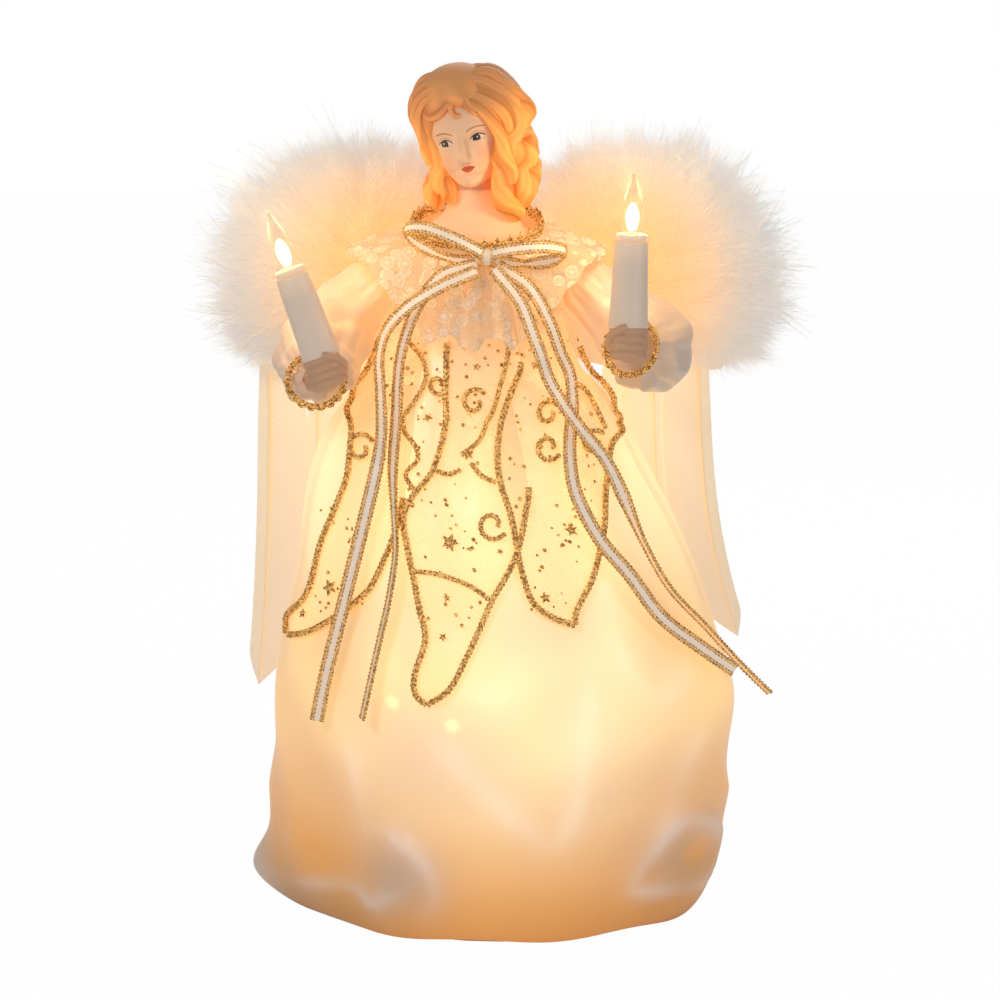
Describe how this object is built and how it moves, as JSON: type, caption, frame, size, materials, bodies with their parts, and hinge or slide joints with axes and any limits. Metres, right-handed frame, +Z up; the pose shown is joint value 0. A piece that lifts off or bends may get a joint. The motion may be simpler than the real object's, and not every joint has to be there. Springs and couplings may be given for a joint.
{
  "type": "lighted angel tree topper",
  "caption": "Cone-bodied angel tree topper in a lit satin skirt with organza petals, feather wings, a ribbon bow and candle lamps held in posable arms.",
  "frame": {"origin": "centre of the standing rim under the hollow cone, on the plane it stands on", "axes": "+Z up along the cone, -Y towards the viewer the angel faces, +X to the viewer's right"},
  "size_m": [0.212, 0.1385, 0.3014],
  "materials": {
    "moulded_plastic": "translucent white moulding",
    "painted_casting": "matt painted casting",
    "satin": "gathered satin lit from inside",
    "organza": "sheer organza edged with gold cord",
    "lace": "ivory lace",
    "gold_braid": "twisted metallic braid",
    "ribbon": "white ribbon with gold edges",
    "steel_wire": "bare wire",
    "green_wire": "insulated wire",
    "green_plastic": "moulded lampholder",
    "bulb_glass": "clear lamp glass",
    "candle_plastic": "white candle tube",
    "card": "pressed card",
    "marabou": "fluffy down",
    "feather": "goose feather"
  },
  "bodies": {
    "figure": {"body_cone": "moulded_plastic", "bust_and_head": "painted_casting", "shoulder_wire": "steel_wire", "skirt": "satin", "bodice": "satin", "petal_front_left": "organza", "petal_front_middle": "organza", "petal_front_right": "organza", "petal_back_right": "organza", "petal_back_left": "organza", "lace_collar": "lace", "neck_braid": "gold_braid", "bow": "ribbon", "ribbon_tail_left_face": "ribbon", "ribbon_tail_left_edge": "ribbon", "ribbon_tail_right_face": "ribbon", "ribbon_tail_right_edge": "ribbon", "light_string_wire": "green_wire", "skirt_lampholder_1": "green_plastic", "skirt_lampholder_2": "green_plastic", "skirt_lampholder_3": "green_plastic", "skirt_lampholder_4": "green_plastic", "skirt_lampholder_5": "green_plastic", "skirt_lampholder_6": "green_plastic", "skirt_lampholder_7": "green_plastic", "skirt_lampholder_8": "green_plastic", "skirt_bulb_1": "bulb_glass", "skirt_bulb_2": "bulb_glass", "skirt_bulb_3": "bulb_glass", "skirt_bulb_4": "bulb_glass", "skirt_bulb_5": "bulb_glass", "skirt_bulb_6": "bulb_glass", "skirt_bulb_7": "bulb_glass", "skirt_bulb_8": "bulb_glass", "wing_board": "card", "left_marabou": "marabou", "right_marabou": "marabou", "left_feather_outer": "feather", "left_feather_middle": "feather", "left_feather_inner": "feather", "right_feather_outer": "feather", "right_feather_middle": "feather", "right_feather_inner": "feather"},
    "left_arm": {"left_sleeve": "satin", "left_arm_wire": "steel_wire", "left_lamp_lead": "green_wire", "left_hand": "painted_casting", "left_cuff_braid": "gold_braid", "left_candle_tube": "candle_plastic", "left_lamp_cup": "candle_plastic"},
    "right_arm": {"right_sleeve": "satin", "right_arm_wire": "steel_wire", "right_lamp_lead": "green_wire", "right_hand": "painted_casting", "right_cuff_braid": "gold_braid", "right_candle_tube": "candle_plastic", "right_lamp_cup": "candle_plastic"},
    "left_bulb": {"left_candle_bulb": "bulb_glass"},
    "right_bulb": {"right_candle_bulb": "bulb_glass"}
  },
  "joints": [
    {"name": "left_arm_swing", "type": "hinge", "parent": "figure", "child": "left_arm", "pos_m": [-0.041, 0, 0.226], "axis": [0, 0, 1], "range_deg": [-25, 8]},
    {"name": "right_arm_swing", "type": "hinge", "parent": "figure", "child": "right_arm", "pos_m": [0.025, 0, 0.226], "axis": [0, 0, 1], "range_deg": [-8, 25]},
    {"name": "left_bulb_pull", "type": "slide", "parent": "left_arm", "child": "left_bulb", "axis": [-0.342, 0, 0.9397], "range_m": [0, 0.014]},
    {"name": "right_bulb_pull", "type": "slide", "parent": "right_arm", "child": "right_bulb", "axis": [0.0349, 0, 0.9994], "range_m": [0, 0.014]}
  ]
}
